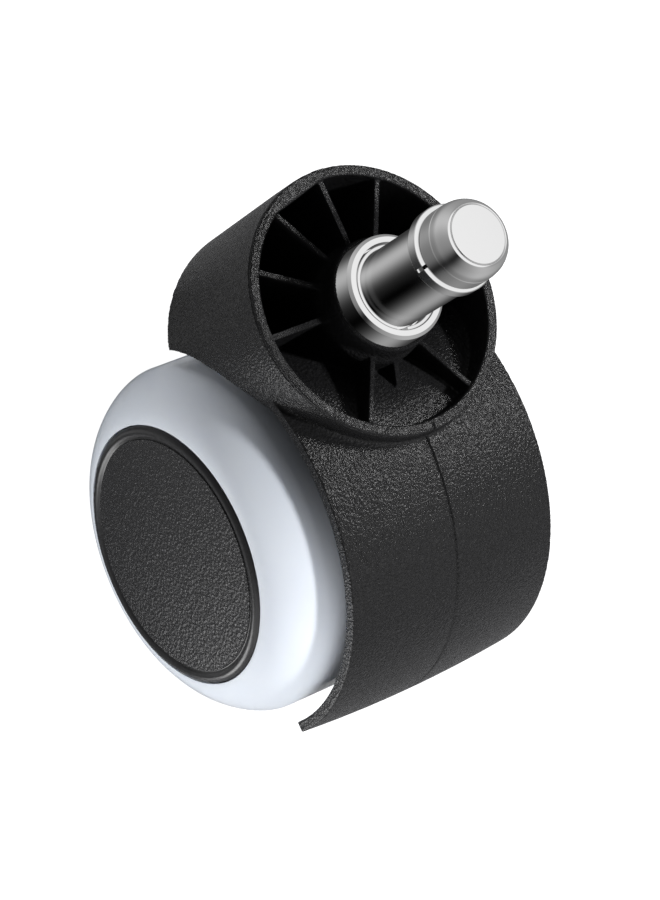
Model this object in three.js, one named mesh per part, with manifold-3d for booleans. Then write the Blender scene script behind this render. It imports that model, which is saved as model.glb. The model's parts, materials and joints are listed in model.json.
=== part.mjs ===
// A hooded twin-wheel chair caster: a grip-ring stem turns in a nylon hood, and two soft-tread wheels
// turn on an axle that is pressed through the hood's central web.
//
// Millimetres, +Z up. The origin is the centre of the stem's flat top end, on the swivel axis.
// +X is the trailing side, where the axle is. The axle runs along Y.

import * as THREE from "three";
import { mergeVertices } from "three/addons/utils/BufferGeometryUtils.js";
import Module from "manifold-3d";

const wasm = await Module();
wasm.setup();

// ---- Driving dimensions ----

// Axle and wheels
const AXLE_X = 19.3; // trail: the axle's distance behind the swivel axis
const AXLE_Z = -58.2;
const AXLE_R = 4;
const AXLE_HALF = 22;
const WHEEL_R = 25; // a 50 mm wheel
const WHEEL_INNER_Y = 9.4; // a wheel's inner face, from the mid plane
const CORE_R = 21.4;
const CAP_R = 18.55;
const CAP_EDGE_Y = 25.15;
const CAP_CENTRE_Y = 25.8;
const CAP_GROOVE_R = 16.8;
const SHOULDER_Y = 18.2; // the rolling face ends here and the sidewall curves in to the hub cap
const SHOULDER_POWER = 1.5; // 1 would be a straight cone, 2 a round shoulder
const SPOKES = 8;

// Hood
const TURRET_R = 19.1;
const TURRET_RIM_R = 19.03; // the cup's wall leans in a little towards its rim
const TURRET_INNER_R = 17.56;
const RIM_Z = -25.7;
const DRAFT_Z = -31;
const SKIRT_Z = -49.4;
const FLOOR_Z = -47.9;
const FENDER_EDGE_R = 29.1;
const FENDER_MIDDLE_R = 29.8; // the fender is crowned: fuller at the middle than at its edges
const FENDER_INNER_R = 27.6;
const FENDER_HALF = 17.85;
const TAIL_DROP = 0.45; // the fender's tail ends this far below the axle's height
const ARCH_R = 27; // the wheel arch cut through the turret's wall
const RIB_TOP_Z = -26.2;
const RIB_THICK = 0.75;
const RIB_ANGLES = [30, 90, 120, 150, 180, 210, 240, 270, 330];
const WEB_THICK = 3.2;
const WEB_BOSS_R = 7.2;
const WEB_BOSS_HALF = 8.6;
const SOCKET_BOSS_R = 8.6;
const SOCKET_LIP_R = 8;
const SOCKET_LIP_Z = -23.3;
const SOCKET_END_Z = -51.5;

// Stem and its socket
const STEM_R = 5.35;
const HEAD_R = 5.55; // a 7/16 inch grip-ring stem
const HEAD_FACE_R = 4.1;
const HEAD_LINE_Z = -2.85; // a turned line round the head
const HEAD_END_Z = -5.4;
const GROOVE_R = 4.5;
const GROOVE_END_Z = -7.7;
const SNAP_GROOVE_LOW_Z = -22.6;
const SNAP_GROOVE_HIGH_Z = -21.3;
const STEM_FOOT_Z = -44.4;
const SLEEVE_R = 7.34;
const SLEEVE_FACE_R = 6.87;
const SLEEVE_MOUTH_R = 5.9;
const SLEEVE_TOP_Z = -20.28;
const SLEEVE_END_Z = -46.2;
const DISC_TOP_Z = -44.55;
const GRIP_RING_R = 6.05;
const GRIP_RING_SHIFT = 0.15; // the loose ring hangs to one side of its groove

// Clearances
const RUNNING = 0.06; // radial, between a shaft and its hole
const SEAT = 0.1; // radial, between a pressed-in piece and its seat
const AXIAL = 0.3; // between faces that turn past each other

// Facets in a full turn
const FENDER_FACETS = 96;
const FINE = 60;
const WHEEL_FACETS = 48;
const STEM_FACETS = 36;
const COARSE = 24;

// ---- Materials ----

const nylon = new THREE.MeshStandardMaterial({ color: 0x26262a, roughness: 0.72, metalness: 0 });
const capNylon = new THREE.MeshStandardMaterial({ color: 0x303036, roughness: 0.66, metalness: 0 });
const coreNylon = new THREE.MeshStandardMaterial({ color: 0x1c1c1f, roughness: 0.6, metalness: 0 });
const tread = new THREE.MeshStandardMaterial({ color: 0xe3e8ef, roughness: 0.22, metalness: 0 });
const chrome = new THREE.MeshStandardMaterial({ color: 0xd4d5d8, roughness: 0.16, metalness: 1 });
const springSteel = new THREE.MeshStandardMaterial({ color: 0xc8cacd, roughness: 0.3, metalness: 1 });
const sleeveSteel = new THREE.MeshStandardMaterial({ color: 0xb0b2b5, roughness: 0.34, metalness: 1 });
const acetal = new THREE.MeshStandardMaterial({ color: 0xd9d6cc, roughness: 0.5, metalness: 0 });

// ---- Shape helpers ----

// A closed ring or disc turned about Y. The outline is a list of [radius, height] points.
function turnedAboutY(outline, facets) {
  const points = outline.map(([radius, height]) => new THREE.Vector2(radius, height));
  if (THREE.ShapeUtils.area(points) < 0) points.reverse();
  const startsOnAxis = outline[0][0] === 0;
  if (!startsOnAxis) points.push(points[0].clone());
  return new THREE.LatheGeometry(points, facets);
}

function turnedAboutZ(outline, facets) {
  return turnedAboutY(outline, facets).rotateX(Math.PI / 2);
}

// Points along an arc in an outline, from one angle to another in degrees.
function arc(centreR, centreH, radius, fromDeg, toDeg, steps) {
  return Array.from({ length: steps + 1 }, (_, i) => {
    const angle = THREE.MathUtils.degToRad(fromDeg + ((toDeg - fromDeg) * i) / steps);
    return [centreR + radius * Math.cos(angle), centreH + radius * Math.sin(angle)];
  });
}

function rodAlongZ(radius, lowZ, highZ, facets) {
  const rod = new THREE.CylinderGeometry(radius, radius, highZ - lowZ, facets);
  return rod.rotateX(Math.PI / 2).translate(0, 0, (lowZ + highZ) / 2);
}

// A rod along the axle's own line.
function rodOnAxle(radius, halfLength, facets) {
  return new THREE.CylinderGeometry(radius, radius, 2 * halfLength, facets).translate(AXLE_X, 0, AXLE_Z);
}

function block([lowX, lowY, lowZ], [highX, highY, highZ]) {
  const box = new THREE.BoxGeometry(highX - lowX, highY - lowY, highZ - lowZ);
  return box.translate((lowX + highX) / 2, (lowY + highY) / 2, (lowZ + highZ) / 2);
}

// A plate of even thickness in the mid plane, from an outline of [x, z] points.
function plateInMidPlane(outline, thickness) {
  const shape = new THREE.Shape(outline.map(([x, z]) => new THREE.Vector2(x, z)));
  const plate = new THREE.ExtrudeGeometry(shape, { depth: thickness, bevelEnabled: false });
  return plate.rotateX(Math.PI / 2).translate(0, thickness / 2, 0);
}

function solid(geometry) {
  const bare = geometry.clone();
  bare.deleteAttribute("normal");
  bare.deleteAttribute("uv");
  const merged = mergeVertices(bare, 1e-4);
  return new wasm.Manifold(
    new wasm.Mesh({
      numProp: 3,
      vertProperties: merged.attributes.position.array,
      triVerts: new Uint32Array(merged.index.array),
    }),
  );
}

function geometryOf(manifold) {
  const mesh = manifold.getMesh();
  const geometry = new THREE.BufferGeometry();
  geometry.setAttribute("position", new THREE.BufferAttribute(mesh.vertProperties, 3));
  geometry.setIndex(new THREE.BufferAttribute(mesh.triVerts, 1));
  geometry.computeVertexNormals();
  return geometry;
}

function piece(name, geometry, material) {
  const mesh = new THREE.Mesh(geometry, material);
  mesh.name = name;
  return mesh;
}

// ---- Hood ----

// The turret before its cup is cut: a round block whose wall leans in near the rim.
function turretBlock() {
  const outline = [
    [0, SKIRT_Z],
    [TURRET_R, SKIRT_Z],
    [TURRET_R, DRAFT_Z],
    [TURRET_RIM_R, RIM_Z],
    [0, RIM_Z],
  ];
  return solid(turnedAboutZ(outline, FINE));
}

// A solid of the fender's crowned outer form, a full turn about the axle.
function crownedRound() {
  const steps = 6;
  const outline = Array.from({ length: steps + 1 }, (_, i) => {
    const across = (2 * i) / steps - 1;
    const radius = THREE.MathUtils.lerp(FENDER_MIDDLE_R, FENDER_EDGE_R, across * across);
    return [radius, across * FENDER_HALF];
  });
  const closed = [[0, -FENDER_HALF], ...outline, [0, FENDER_HALF]];
  return solid(turnedAboutY(closed, FENDER_FACETS).translate(AXLE_X, 0, AXLE_Z));
}

// The fender's outer form, cut off just below the axle at the tail and at the skirt in front.
function fenderForm() {
  const round = crownedRound();
  const tailEnd = AXLE_X + FENDER_MIDDLE_R + 1;
  const tail = solid(
    block([AXLE_X, -FENDER_HALF - 1, AXLE_Z - TAIL_DROP], [tailEnd, FENDER_HALF + 1, RIM_Z]),
  );
  const crest = solid(block([0, -FENDER_HALF - 1, AXLE_Z], [AXLE_X + 1, FENDER_HALF + 1, RIM_Z]));
  const front = solid(rodAlongZ(TURRET_R, SKIRT_Z, RIM_Z, FINE));
  return round.intersect(tail.add(crest).add(front));
}

function radialRibs() {
  const inCup = solid(rodAlongZ(TURRET_INNER_R + 0.3, FLOOR_Z - 0.5, RIB_TOP_Z, FINE));
  const ribs = RIB_ANGLES.map((angle) => {
    const rib = block([0, -RIB_THICK / 2, FLOOR_Z - 0.5], [TURRET_R, RIB_THICK / 2, RIB_TOP_Z]);
    return solid(rib.rotateZ(THREE.MathUtils.degToRad(angle)));
  });
  return wasm.Manifold.union(ribs).intersect(inCup);
}

// A low gusset behind the socket, down to the fender's crest.
function rearGusset() {
  const bossSide = SOCKET_BOSS_R - 1;
  const foot = [SOCKET_BOSS_R + 2, RIB_TOP_Z - 2.5];
  const outline = [[bossSide, RIB_TOP_Z - 0.6], foot, [bossSide, foot[1] - 1.5]];
  return solid(plateInMidPlane(outline, RIB_THICK));
}

// The web between the wheels: it hangs from the fender and carries the axle.
function centralWeb() {
  const weldR = FENDER_INNER_R + 0.3;
  const roof = arc(AXLE_X, AXLE_Z, weldR, 28, 150, 24);
  const frontFoot = [-4, SOCKET_END_Z + 0.8];
  const underAxle = arc(AXLE_X, AXLE_Z, WEB_BOSS_R - 0.5, 235, 345, 8);
  const plate = solid(plateInMidPlane([...roof, frontFoot, ...underAxle], WEB_THICK));
  return plate.add(solid(rodOnAxle(WEB_BOSS_R, WEB_BOSS_HALF, STEM_FACETS)));
}

function socketBoss() {
  const outline = [
    [0, SOCKET_END_Z],
    [SOCKET_BOSS_R - 1, SOCKET_END_Z],
    [SOCKET_BOSS_R, SOCKET_END_Z + 1],
    [SOCKET_BOSS_R, RIB_TOP_Z - 1],
    [SOCKET_LIP_R, RIB_TOP_Z],
    [SOCKET_LIP_R, SOCKET_LIP_Z - 0.3],
    [SOCKET_LIP_R - 0.3, SOCKET_LIP_Z],
    [0, SOCKET_LIP_Z],
  ];
  return solid(turnedAboutZ(outline, STEM_FACETS));
}

// The space the two wheels turn in: wider under the fender than at the arch in the turret's wall.
function wheelSpace() {
  const halfWidth = FENDER_HALF + 8;
  const underFender = solid(rodOnAxle(FENDER_INNER_R, halfWidth, FENDER_FACETS));
  const arch = solid(rodOnAxle(ARCH_R, halfWidth, FENDER_FACETS));
  return underFender.subtract(turretBlock()).add(arch);
}

function hood() {
  const cup = solid(rodAlongZ(TURRET_INNER_R, FLOOR_Z, RIM_Z + 1, FINE)).subtract(crownedRound());
  const shell = turretBlock().add(fenderForm()).subtract(cup).add(radialRibs()).subtract(wheelSpace());
  const whole = shell.add(centralWeb()).add(rearGusset()).add(socketBoss());
  const socketHole = solid(rodAlongZ(SLEEVE_R + SEAT, SLEEVE_END_Z, SOCKET_LIP_Z + 1, STEM_FACETS));
  const axleHole = solid(rodOnAxle(AXLE_R + SEAT, WEB_BOSS_HALF + 1, COARSE));
  return piece("hood", geometryOf(whole.subtract(socketHole).subtract(axleHole)), nylon);
}

// ---- Stem and socket ----

function stem() {
  const snapGrooveR = STEM_R - 0.65;
  const outline = [
    [0, 0],
    [HEAD_FACE_R, 0],
    [HEAD_R - 1.05, -0.15],
    [HEAD_R - 0.5, -0.85],
    [HEAD_R - 0.12, -1.8],
    [HEAD_R, HEAD_LINE_Z],
    [HEAD_R - 0.1, HEAD_LINE_Z - 0.1],
    [HEAD_R, HEAD_LINE_Z - 0.2],
    [HEAD_R, HEAD_END_Z],
    [GROOVE_R, HEAD_END_Z],
    [GROOVE_R, GROOVE_END_Z],
    [STEM_R, GROOVE_END_Z - 0.2],
    [STEM_R, SNAP_GROOVE_HIGH_Z],
    [snapGrooveR, SNAP_GROOVE_HIGH_Z],
    [snapGrooveR, SNAP_GROOVE_LOW_Z],
    [STEM_R, SNAP_GROOVE_LOW_Z],
    [STEM_R, STEM_FOOT_Z + 1.4],
    [STEM_R - 1.4, STEM_FOOT_Z + 0.25],
    [0, STEM_FOOT_Z],
  ];
  return piece("stem", turnedAboutZ(outline, STEM_FACETS), chrome);
}

function socketSleeve() {
  const boreR = STEM_R + RUNNING;
  const mouthR = SLEEVE_MOUTH_R - 0.2;
  const snapR = SLEEVE_MOUTH_R + 0.1;
  const endZ = SLEEVE_END_Z + 0.2;
  const outline = [
    [SLEEVE_FACE_R, SLEEVE_TOP_Z],
    [SLEEVE_MOUTH_R, SLEEVE_TOP_Z],
    [mouthR, SLEEVE_TOP_Z - 0.3],
    [mouthR, SNAP_GROOVE_HIGH_Z],
    [snapR, SNAP_GROOVE_HIGH_Z],
    [snapR, SNAP_GROOVE_LOW_Z - 0.1],
    [boreR, SNAP_GROOVE_LOW_Z - 0.1],
    [boreR, endZ],
    [SLEEVE_R, endZ],
    [SLEEVE_R, SLEEVE_TOP_Z - 0.4],
  ];
  return piece("socket_sleeve", turnedAboutZ(outline, STEM_FACETS), sleeveSteel);
}

// The hard disc at the bottom of the socket, on which the stem's foot turns.
function thrustDisc() {
  const radius = STEM_R - 0.1;
  return piece("thrust_disc", rodAlongZ(radius, SLEEVE_END_Z + 0.1, DISC_TOP_Z, STEM_FACETS), sleeveSteel);
}

// A split ring: a turned ring with a wedge cut out of it, centred on the given angle.
function splitRing(name, innerR, outerR, lowZ, highZ, gapWidth, gapDeg, material) {
  const edge = 0.15;
  const outline = [
    [innerR, lowZ],
    [outerR - edge, lowZ],
    [outerR, lowZ + edge],
    [outerR, highZ - edge],
    [outerR - edge, highZ],
    [innerR, highZ],
  ];
  const gap = block([0, -gapWidth / 2, lowZ - 1], [outerR + 1, gapWidth / 2, highZ + 1]);
  gap.rotateZ(THREE.MathUtils.degToRad(gapDeg));
  const ring = solid(turnedAboutZ(outline, STEM_FACETS)).subtract(solid(gap));
  return piece(name, geometryOf(ring), material);
}

function gripRing() {
  const lowZ = GROOVE_END_Z + AXIAL;
  const highZ = HEAD_END_Z - AXIAL;
  const ring = splitRing("grip_ring", GRIP_RING_R - 0.8, GRIP_RING_R, lowZ, highZ, 1.4, 75, springSteel);
  ring.position.x = -GRIP_RING_SHIFT;
  return ring;
}

function snapRing() {
  const lowZ = SNAP_GROOVE_LOW_Z + 0.1;
  const highZ = SNAP_GROOVE_HIGH_Z - 0.1;
  const innerR = STEM_R - 0.6;
  const outerR = SLEEVE_MOUTH_R - 0.05;
  return splitRing("stem_snap_ring", innerR, outerR, lowZ, highZ, 1.6, -20, springSteel);
}

// ---- Axle ----

function axle() {
  const chamfer = 0.6;
  const outline = [
    [0, -AXLE_HALF],
    [AXLE_R - chamfer, -AXLE_HALF],
    [AXLE_R, -AXLE_HALF + chamfer],
    [AXLE_R, AXLE_HALF - chamfer],
    [AXLE_R - chamfer, AXLE_HALF],
    [0, AXLE_HALF],
  ];
  const mesh = piece("axle", turnedAboutY(outline, COARSE), sleeveSteel);
  mesh.position.set(AXLE_X, 0, AXLE_Z);
  return mesh;
}

// ---- One wheel, with its bearing pieces, drawn with +Y pointing away from the hood ----

const HUB_R = 8.2;
const HUB_END_Y = 20.2;
const BUSH_R = 5.6;
const RIM_INNER_R = 18.8;
const CAP_SEAT_R = 17.2;
const DISC_INNER_Y = 14;
const DISC_OUTER_Y = 16.4;
const CORE_FACE_Y = 22.4;

function wheelCore(side) {
  const innerY = WHEEL_INNER_Y + 0.3;
  const outline = [
    [BUSH_R + SEAT, innerY],
    [HUB_R, innerY],
    [HUB_R, DISC_INNER_Y],
    [RIM_INNER_R, DISC_INNER_Y],
    [RIM_INNER_R, innerY],
    [CORE_R, innerY],
    [CORE_R, CORE_FACE_Y],
    [CAP_SEAT_R, CORE_FACE_Y],
    [CAP_SEAT_R, DISC_OUTER_Y],
    [HUB_R, DISC_OUTER_Y],
    [HUB_R, HUB_END_Y],
    [BUSH_R + SEAT, HUB_END_Y],
  ];
  const spokeThick = 1.3;
  const spokes = Array.from({ length: SPOKES }, (_, i) => {
    const low = [HUB_R - 0.5, innerY + 1, -spokeThick / 2];
    const high = [RIM_INNER_R + 0.5, DISC_INNER_Y + 0.5, spokeThick / 2];
    return solid(block(low, high).rotateY((2 * Math.PI * i) / SPOKES));
  });
  const core = solid(turnedAboutY(outline, WHEEL_FACETS)).add(wasm.Manifold.union(spokes));
  return piece(`wheel_core_${side}`, geometryOf(core), coreNylon);
}

// The tread's sidewall: it curves from the rolling face in to the hub cap's edge.
function sidewall() {
  const steps = 7;
  const endR = CAP_R + 0.12;
  return Array.from({ length: steps + 1 }, (_, i) => {
    const t = Math.sin((Math.PI / 2) * (i / steps));
    const fall = Math.pow(1 - Math.pow(t, SHOULDER_POWER), 1 / SHOULDER_POWER);
    return [endR + (WHEEL_R - endR) * fall, THREE.MathUtils.lerp(SHOULDER_Y, CAP_EDGE_Y, t)];
  });
}

function wheelTread(side) {
  const seatR = CORE_R + SEAT;
  const inner = WHEEL_INNER_Y + 0.3;
  const seatY = CORE_FACE_Y + SEAT;
  const cornerR = 1.2;
  const outline = [
    [seatR, inner],
    ...arc(WHEEL_R - cornerR, inner + cornerR, cornerR, -90, 0, 3),
    ...sidewall(),
    [CAP_R + 0.12, seatY],
    [seatR, seatY],
  ];
  return piece(`tread_${side}`, turnedAboutY(outline, WHEEL_FACETS), tread);
}

function hubCap(side) {
  const backY = CAP_EDGE_Y - 1.3;
  const grooveY = CAP_EDGE_Y + 0.3;
  const spigotR = CAP_SEAT_R - SEAT;
  const outline = [
    [0, CAP_CENTRE_Y],
    [CAP_GROOVE_R - 0.3, grooveY],
    [CAP_GROOVE_R, grooveY - 0.25],
    [CAP_GROOVE_R + 0.3, grooveY],
    [CAP_R, CAP_EDGE_Y],
    [CAP_R, backY],
    [spigotR, backY],
    [spigotR, backY - 4],
    [spigotR - 1.3, backY - 4],
    [spigotR - 1.3, backY],
    [0, backY],
  ];
  return piece(`hub_cap_${side}`, turnedAboutY(outline, WHEEL_FACETS), capNylon);
}

// A flanged bush pressed into the wheel's hub: it turns on the axle.
function wheelBush(side) {
  const boreR = AXLE_R + RUNNING;
  const flangeY = WHEEL_INNER_Y + 0.2;
  const outline = [
    [boreR, WHEEL_INNER_Y - 0.3],
    [BUSH_R + 1.4, WHEEL_INNER_Y - 0.3],
    [BUSH_R + 1.4, flangeY],
    [BUSH_R, flangeY],
    [BUSH_R, HUB_END_Y],
    [boreR, HUB_END_Y],
  ];
  return piece(`wheel_bush_${side}`, turnedAboutY(outline, COARSE), acetal);
}

// A plain ring on the axle, used for the thrust washer and the push-on retaining clip.
function axleRing(name, outerR, fromY, toY) {
  const boreR = AXLE_R + SEAT / 2;
  const outline = [[boreR, fromY], [outerR, fromY], [outerR, toY], [boreR, toY]];
  return piece(name, turnedAboutY(outline, COARSE), springSteel);
}

function wheelSet(side, turn) {
  const washerStart = WEB_BOSS_HALF + 0.02;
  const clipStart = HUB_END_Y + AXIAL;
  const set = new THREE.Group();
  set.add(
    wheelCore(side),
    wheelTread(side),
    hubCap(side),
    wheelBush(side),
    axleRing(`axle_washer_${side}`, BUSH_R + 1.4, washerStart, washerStart + 0.33),
    axleRing(`axle_clip_${side}`, BUSH_R + 1.4, clipStart, clipStart + 0.7),
  );
  set.position.set(AXLE_X, 0, AXLE_Z);
  set.rotation.z = turn;
  return set;
}

// ---- The caster ----

const caster = new THREE.Group();
caster.add(stem(), gripRing(), snapRing(), socketSleeve(), thrustDisc(), hood(), axle());
caster.add(wheelSet("right", 0), wheelSet("left", Math.PI));

export default caster;
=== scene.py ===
import json
import math

import bmesh
import bpy
import numpy as np
from mathutils import Matrix, Vector


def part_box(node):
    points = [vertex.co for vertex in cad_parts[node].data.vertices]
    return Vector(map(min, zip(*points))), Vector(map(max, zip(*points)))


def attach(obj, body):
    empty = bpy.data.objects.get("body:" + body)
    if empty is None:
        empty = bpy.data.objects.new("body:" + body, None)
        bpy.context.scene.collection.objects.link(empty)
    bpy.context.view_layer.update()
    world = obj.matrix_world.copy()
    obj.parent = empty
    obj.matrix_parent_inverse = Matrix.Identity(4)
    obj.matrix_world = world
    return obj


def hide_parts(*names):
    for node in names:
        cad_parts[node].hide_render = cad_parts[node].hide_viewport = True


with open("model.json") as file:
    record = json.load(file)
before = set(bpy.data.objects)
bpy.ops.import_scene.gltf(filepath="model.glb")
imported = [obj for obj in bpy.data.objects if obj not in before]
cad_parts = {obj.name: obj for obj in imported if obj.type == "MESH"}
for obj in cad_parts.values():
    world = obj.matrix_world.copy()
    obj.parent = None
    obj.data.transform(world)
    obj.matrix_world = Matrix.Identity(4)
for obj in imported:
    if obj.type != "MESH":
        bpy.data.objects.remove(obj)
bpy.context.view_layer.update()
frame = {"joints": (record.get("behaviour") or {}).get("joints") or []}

# A hooded twin-wheel chair caster. Sizes are in millimetres, and place() turns each piece's mesh into
# metres. +Z is up the swivel axis, +X goes from that axis towards the wheels' axle, and Y is along it.

MM = 0.001


# ---- Sizes that the frame gives ----

def box_mm(node):
    low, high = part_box(node)
    return low / MM, high / MM


def joint_point_mm(name):
    joint = next(j for j in frame["joints"] if j["name"] == name)
    return Vector(joint["pos_m"]) / MM


STEM_LOW, STEM_HIGH = box_mm("stem")
SLEEVE_LOW, SLEEVE_HIGH = box_mm("socket_sleeve")
RING_LOW, RING_HIGH = box_mm("grip_ring")
SNAP_LOW, SNAP_HIGH = box_mm("stem_snap_ring")
DISC_LOW, DISC_HIGH = box_mm("thrust_disc")
HOOD_LOW, HOOD_HIGH = box_mm("hood")
AXLE_LOW, AXLE_HIGH = box_mm("axle")
TREAD_LOW, TREAD_HIGH = box_mm("tread_right")
CORE_LOW, CORE_HIGH = box_mm("wheel_core_right")
CAP_LOW, CAP_HIGH = box_mm("hub_cap_right")

AXLE = joint_point_mm("wheel_right_spin")
AXLE_X = AXLE.x
AXLE_Z = AXLE.z
AXLE_CENTRE = (AXLE_X, 0, AXLE_Z)

HEAD_R = STEM_HIGH.x
RING_R = (RING_HIGH.y - RING_LOW.y) / 2
SLEEVE_R = SLEEVE_HIGH.x
WHEEL_R = (TREAD_HIGH.z - TREAD_LOW.z) / 2
CORE_R = (CORE_HIGH.z - CORE_LOW.z) / 2
CAP_R = (CAP_HIGH.z - CAP_LOW.z) / 2
AXLE_R = (AXLE_HIGH.z - AXLE_LOW.z) / 2
TURRET_R = -HOOD_LOW.x
FENDER_MIDDLE_R = HOOD_HIGH.x - AXLE_X
SOCKET_LIP_Z = HOOD_HIGH.z


# ---- The hood's sizes ----

RIM_Z = -25.7
TURRET_RIM_R = TURRET_R - 0.07
TURRET_INNER_R = TURRET_R - 1.54
DRAFT_Z = -31
SKIRT_Z = -49.4
FLOOR_Z = -47.9
FENDER_EDGE_R = FENDER_MIDDLE_R - 0.7
FENDER_INNER_R = FENDER_MIDDLE_R - 2.2
FENDER_HALF = 17.85
TAIL_DROP = 0.45
ARCH_R = WHEEL_R + 2
RIB_TOP_Z = -26.2
RIB_THICK = 0.85
RIB_ANGLES = (30, 90, 120, 150, 180, 210, 240, 270, 330)
WEB_THICK = 3.2
WEB_BOSS_R = AXLE_Z - HOOD_LOW.z
WEB_BOSS_HALF = 8.6
SOCKET_BOSS_R = 8.6
SOCKET_LIP_R = SLEEVE_R + 0.66
SOCKET_END_Z = -51.5
SEAT = 0.1  # radial, between the hood and the sleeve or axle in it

VOXEL = 0.2
RELAX_STEPS = (0.5, -0.52) * 4  # in, then out again, so that the whole doesn't shrink
CREASE_STEPS = (0.6,) * 14
CREASE_REACH = 1.3
CREASE_LOW_Z = -47
SEAM_WIDE = 0.16
SEAM_DEEP = 0.25
SEAM_LIP_Y = -0.32  # a low raised lip beside the parting line
SEAM_LIP_RISE = 0.04
RIM_GROOVE_Z = RIM_Z - 0.34
RIM_GROOVE_WIDE = 0.13
RIM_GROOVE_DEEP = 0.17


# ---- The wheels' sizes ----

SHOULDER_Y = 18.2
SHOULDER_POWER = 1.5
TREAD_CORNER_R = 1.2
TREAD_LIP_R = CAP_R + 0.12
CAP_EDGE_Y = 25.15
CAP_FACE_Y = CAP_EDGE_Y + 0.3
CAP_BACK_Y = CAP_EDGE_Y - 1.3
CAP_GROOVE_R = 16.8
CAP_BORDER_FOOT_Y = CAP_FACE_Y - 0.12
SPIGOT_R = CORE_R - 4.3
SPIGOT_WALL = 1.3
SPIGOT_LONG = 4
HUB_R = 8.2
SPOKES = 8
SPOKE_THICK = 1.3


# ---- The stem's and socket's sizes ----

HEAD_FACE_R = 4.1
HEAD_LINE_Z = -2.85
HEAD_END_Z = -5.4
GROOVE_R = 4.5
GROOVE_END_Z = -7.7
STEM_R = 5.35
SNAP_GROOVE_R = STEM_R - 0.65
RING_THICK = 0.8
SLEEVE_FACE_R = 6.93
SLEEVE_MOUTH_R = 6.12


# ---- How fine the meshes are ----

ROUND_STEPS = 256
STEM_STEPS = 192
COARSE_STEPS = 96
SUPPORT = 0.12  # how far from a corner a long line gets an extra point
PAST = 1  # how far a cutting shape runs past what it cuts


# ---- Mesh helpers ----

def new_object(name, verts, faces):
    mesh = bpy.data.meshes.new(name)
    mesh.from_pydata([Vector(v) for v in verts], [], faces)
    mesh.validate()
    obj = bpy.data.objects.new(name, mesh)
    bpy.context.scene.collection.objects.link(obj)
    return obj


def face_outwards(obj):
    bm = bmesh.new()
    bm.from_mesh(obj.data)
    bmesh.ops.remove_doubles(bm, verts=bm.verts, dist=1e-5)
    bmesh.ops.recalc_face_normals(bm, faces=bm.faces)
    if bm.calc_volume(signed=True) < 0:
        bmesh.ops.reverse_faces(bm, faces=bm.faces)
    bm.to_mesh(obj.data)
    bm.free()
    return obj


def is_ring(profile):
    """A profile that starts off the axis closes on itself and makes a ring."""
    return profile[0][0] > 1e-9


def turned(name, profile, steps, axis="Z", centre=(0, 0, 0)):
    """A profile of (radius, height) points turned a full circle. A profile that starts and ends on
    the axis makes a disc or rod."""
    rows = list(profile) + ([profile[0]] if is_ring(profile) else [])
    count = len(profile)
    verts = []
    for radius, height in profile:
        for k in range(steps):
            a = 2 * math.pi * k / steps
            u, w = radius * math.cos(a), radius * math.sin(a)
            point = (u, w, height) if axis == "Z" else (w, height, u)
            verts.append(Vector(point) + Vector(centre))
    faces = []
    for i in range(len(rows) - 1):
        low, high = i % count, (i + 1) % count
        for k in range(steps):
            n = (k + 1) % steps
            faces.append((low * steps + k, low * steps + n, high * steps + n, high * steps + k))
    return face_outwards(new_object(name, verts, faces))


def turned_on_axle(name, profile, steps=ROUND_STEPS):
    return turned(name, profile, steps, "Y", AXLE_CENTRE)


def rounded(profile, radius, steps):
    """The profile with each corner that has a radius turned into an arc. radius is one number, or
    a list with one number for each point."""
    count = len(profile)
    radii = radius if isinstance(radius, list) else [radius] * count
    out = []
    for i, point in enumerate(profile):
        here = Vector(point)
        on_axis = i in (0, count - 1) and not is_ring(profile)
        if on_axis or radii[i] <= 0:
            out.append(tuple(here))
            continue
        before = Vector(profile[i - 1]) - here
        after = Vector(profile[(i + 1) % count]) - here
        reach = min(radii[i], before.length * 0.45, after.length * 0.45)
        start = here + before.normalized() * reach
        end = here + after.normalized() * reach
        for s in range(steps + 1):
            t = s / steps
            out.append(tuple(start * (1 - t) ** 2 + here * 2 * t * (1 - t) + end * t * t))
    return supported(out)


def supported(profile):
    """The profile with extra points close to both ends of its long lines, so that the rounding at a
    corner doesn't tint the shading of the whole line."""
    following = profile[1:] + ([profile[0]] if is_ring(profile) else [])
    out = []
    for start, end in zip(profile, following):
        a, b = Vector(start), Vector(end)
        out.append(tuple(a))
        length = (b - a).length
        if length > 4 * SUPPORT:
            step = (b - a) * SUPPORT / length
            out += [tuple(a + step), tuple(b - step)]
    return out if is_ring(profile) else out + [tuple(profile[-1])]


def prism(name, outline, low, high, axis="Y"):
    """A flat outline pushed along an axis. Along Y the outline is (x, z), along Z it is (x, y)."""
    def point(u, v, h):
        return (u, h, v) if axis == "Y" else (u, v, h)

    count = len(outline)
    verts = [point(u, v, low) for u, v in outline] + [point(u, v, high) for u, v in outline]
    faces = [tuple(range(count)), tuple(range(2 * count - 1, count - 1, -1))]
    for i in range(count):
        n = (i + 1) % count
        faces.append((i, n, count + n, count + i))
    return face_outwards(new_object(name, verts, faces))


def slab(name, low, high):
    outline = [(low[0], low[2]), (high[0], low[2]), (high[0], high[2]), (low[0], high[2])]
    return prism(name, outline, low[1], high[1])


def rod_up(name, radius, low, high):
    return turned(name, [(0, low), (radius, low), (radius, high), (0, high)], ROUND_STEPS)


def rod_on_axle(name, radius, half):
    return turned_on_axle(name, [(0, -half), (radius, -half), (radius, half), (0, half)])


def arc_points(radius, start, end, steps, centre=(0, 0)):
    points = []
    for i in range(steps + 1):
        a = math.radians(start + (end - start) * i / steps)
        points.append((centre[0] + radius * math.cos(a), centre[1] + radius * math.sin(a)))
    return points


def along_and_across(degrees):
    """The directions along and across a line from the centre at this angle."""
    a = math.radians(degrees)
    return Vector((math.cos(a), math.sin(a))), Vector((-math.sin(a), math.cos(a)))


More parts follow.
